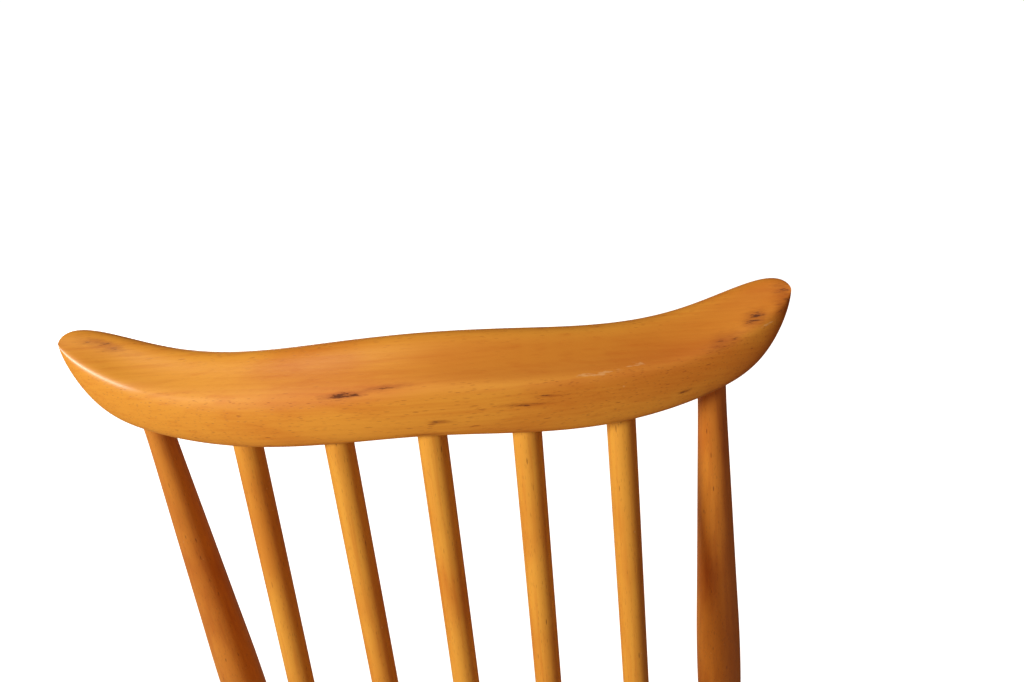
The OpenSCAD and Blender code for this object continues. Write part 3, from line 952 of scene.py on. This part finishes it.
LEG_SEAT = {"front": (0.166, -0.314), "rear": (0.142, -0.066)}
LEG_FOOT_Y = {"front": -0.268, "rear": 0.112}
STRETCHER_HEIGHT = {"front": 0.36, "rear": 0.40}
FOOT_R = 0.010
FOOT_TENON = 0.033
LEG_TOP_R = 0.013
LEG_SWELL_R = 0.0185
LEG_SWELL = 0.56  # the widest place, as a share of the way up
STRETCHER_TENON = 20 * MM


def leg_head(end, side):
    x, y = LEG_SEAT[end]
    return from_seat(np.array([side * x, y, -SEAT_THICKNESS]))


def leg_foot(end, side):
    y = LEG_FOOT_Y[end]
    return np.array([side * ROCKER_X, y, rocker_top(y)])


def leg_dir(end, side):
    return unit(leg_head(end, side) - leg_foot(end, side))


def tenon_end(end, side):
    """A point and a normal of the plane that a leg's tenon is cut to, in the seat's top."""
    head = in_seat(leg_head(end, side))
    d = turn_x(leg_dir(end, side), SEAT_SLOPE)
    q = head + d * (SEAT_THICKNESS - 8 * MM) / d[2]
    h = 6 * MM
    x, y = q[0], q[1]
    slope = [
        seat_top(x - h, y) - seat_top(x + h, y),
        seat_top(x, y - h) - seat_top(x, y + h),
        2 * h,
    ]
    normal = unit(np.array(slope, float).ravel())
    point = np.array([x, y, float(seat_top(x, y))]) + normal * 0.6 * MM
    return from_seat(point), turn_x(normal, -SEAT_SLOPE)


def make_leg(end, word, side, material):
    foot, head, d = leg_foot(end, side), leg_head(end, side), leg_dir(end, side)
    length = np.linalg.norm(head - foot)
    f = FOOT_TENON
    total = f + length + SEAT_THICKNESS + 14 * MM
    outline = [
        [0, FOOT_R],
        [f + 5 * MM, FOOT_R],
        [f + length * 0.3, 0.0156],
        [f + length * LEG_SWELL, LEG_SWELL_R],
        [f + length * 0.82, 0.0162],
        [f + length - 4 * MM, LEG_TOP_R],
        [total, LEG_TOP_R],
    ]
    start = foot - d * f
    piece = turned(f"leg_{end}_{word}", start, start + d * total, outline, material)
    cut_away(piece, tenon_end(end, side))
    smooth(piece)
    finish_piece(piece, material, f"{end}_leg_{word}")


def stretcher_end(end, side):
    foot, head = leg_foot(end, side), leg_head(end, side)
    return foot + (head - foot) * STRETCHER_HEIGHT[end]


def make_stretchers(material):
    for word, side in SIDES.items():
        a, b = stretcher_end("front", side), stretcher_end("rear", side)
        d = unit(b - a)
        inset = LEG_SWELL_R - 3 * MM - STRETCHER_TENON
        a, b = a + d * inset, b - d * inset
        n = np.linalg.norm(b - a)
        outline = [[0, 0.008], [0.024, 0.008], [n / 2, 0.012], [n - 0.024, 0.008], [n, 0.008]]
        piece = turned(f"stretcher_{word}", a, b, outline, material)
        finish_piece(piece, material, f"side_stretcher_{word}")
    a = stretcher_end("front", LEFT) * 0.53 + stretcher_end("rear", LEFT) * 0.47
    b = a * [-1, 1, 1]
    d = unit(b - a)
    a, b = a + d * 2 * MM, b - d * 2 * MM
    n = np.linalg.norm(b - a)
    outline = [[0, 0.007], [0.018, 0.007], [n / 2, 0.0115], [n - 0.018, 0.007], [n, 0.007]]
    piece = turned("stretcher_cross", a, b, outline, material)
    finish_piece(piece, material, "cross_stretcher")


def finish_fixings(material):
    for name in ("leg_wedges", "rocker_pins"):
        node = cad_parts[name]
        node.data.materials.clear()
        node.data.materials.append(material)


# ------------------------------------------------------------------ stage, light and camera


def make_floor():
    """A plain pale floor: white at a distance, and matt enough near the rockers to take their shadow."""
    floor = new_piece("floor", [(-9, -9, 0), (9, -9, 0), (9, 9, 0), (-9, 9, 0)], [(0, 1, 2, 3)])
    material, graph = new_material("pale floor")
    place = graph.add("ShaderNodeTexCoord", output=3)
    distance = graph.add("ShaderNodeVectorMath", {"operation": "LENGTH"}, {0: place}, output=1)
    far = graph.step(distance, 0.40, 0.85, 0.45, 0.96)
    matt = graph.add("ShaderNodeBsdfDiffuse", sockets={"Color": (0.80, 0.80, 0.80)})
    glow = graph.add("ShaderNodeEmission", sockets={"Color": (1, 1, 1), "Strength": far})
    both = graph.add("ShaderNodeAddShader", sockets={0: matt, 1: glow})
    bounce = graph.add("ShaderNodeBsdfDiffuse", sockets={"Color": (0.36, 0.23, 0.14)})
    seen = graph.add("ShaderNodeLightPath")
    surface = graph.add("ShaderNodeMixShader", sockets={0: seen, 1: bounce, 2: both})
    graph.add("ShaderNodeOutputMaterial", sockets={"Surface": surface})
    floor.data.materials.append(material)


def make_world():
    """Even white all round to look at, and dim and warm as light."""
    world = bpy.data.worlds.new("studio")
    bpy.context.scene.world = world
    world.use_nodes = True
    world.node_tree.nodes.clear()
    graph = Graph(world.node_tree)
    seen = graph.add("ShaderNodeLightPath")
    colour = graph.blend((0.205, 0.105, 0.055), (1.05, 1.05, 1.05), seen)
    light = graph.add("ShaderNodeBackground", sockets={"Color": colour, "Strength": 1.0})
    graph.add("ShaderNodeOutputWorld", sockets={"Surface": light})


def make_light(name, place, target, size, power_watts, colour):
    data = bpy.data.lights.new(name, "AREA")
    data.shape = "DISK"
    data.size = size
    data.energy = power_watts
    data.color = colour
    light = bpy.data.objects.new(name, data)
    bpy.context.scene.collection.objects.link(light)
    aim = Vector(target) - Vector(place)
    light.matrix_world = Matrix.Translation(place) @ aim.to_track_quat("-Z", "Y").to_matrix().to_4x4()


def make_camera(
    azimuth=-1.829, elevation=33.867, roll=-5.265, distance=0.8189, to_right=0.0489, to_up=0.0458
):
    """Behind the back and above it. The angles are from the spindles' own square, in degrees."""
    a, e, r = (math.radians(v) for v in (azimuth, elevation, roll))
    away = np.array([math.sin(a) * math.cos(e), math.cos(a) * math.cos(e), math.sin(e)])
    level = unit(np.cross([0, 0, 1], away))
    rise = np.cross(away, level)
    right = math.cos(r) * level + math.sin(r) * rise
    up = math.cos(r) * rise - math.sin(r) * level
    place = right * to_right + up * to_up + away * distance
    axes = [back_points(*v) - RAIL_MIDDLE for v in (right, up, away)]
    turn = Matrix([[axes[c][row] for c in range(3)] for row in range(3)])
    data = bpy.data.cameras.new("camera")
    data.lens = 48.3
    data.sensor_width = 36
    data.clip_start = 0.01
    data.clip_end = 100
    camera = bpy.data.objects.new("camera", data)
    camera.matrix_world = Matrix.Translation(Vector(back_points(*place))) @ turn.to_4x4()
    bpy.context.scene.collection.objects.link(camera)
    bpy.context.scene.camera = camera


# ------------------------------------------------------------------ the chair

rail_beech = beech("crest rail beech", RAIL_TONES, stain=STAIN)
spindle_beech = beech("spindle beech", SPINDLE_TONES, pith=(0.03, -0.05))
post_beech = beech("post beech", POST_TONES, pith=(0.03, -0.05))
rocker_beech = beech("rocker beech", ROCKER_TONES)
seat_elm = elm("seat elm", SEAT_TONES)
fixing_wood = end_grain("fixing wood", FIXING_TONES)

make_crest_rail(rail_beech)
for number, (k, side) in enumerate([(2, LEFT), (1, LEFT), (0, LEFT), (1, RIGHT), (2, RIGHT)], 1):
    make_long_spindle(number, k, side, spindle_beech)
make_seat(seat_elm)
for word, side in SIDES.items():
    make_back_post(word, side, post_beech)
    make_rocker(word, side, rocker_beech)
    for end in LEG_SEAT:
        make_leg(end, word, side, post_beech)
make_stretchers(spindle_beech)
finish_fixings(fixing_wood)

make_floor()
make_world()
make_light("key", (2.5, 2.7, 2.2), (0, 0.2, 0.95), 1.1, 142, (1.0, 0.97, 0.92))
make_light("front", (1.6, -2.6, 1.1), (0, 0, 0.5), 2.0, 30, (1.0, 0.95, 0.88))
make_camera()
bpy.context.scene.view_settings.view_transform = "Standard"
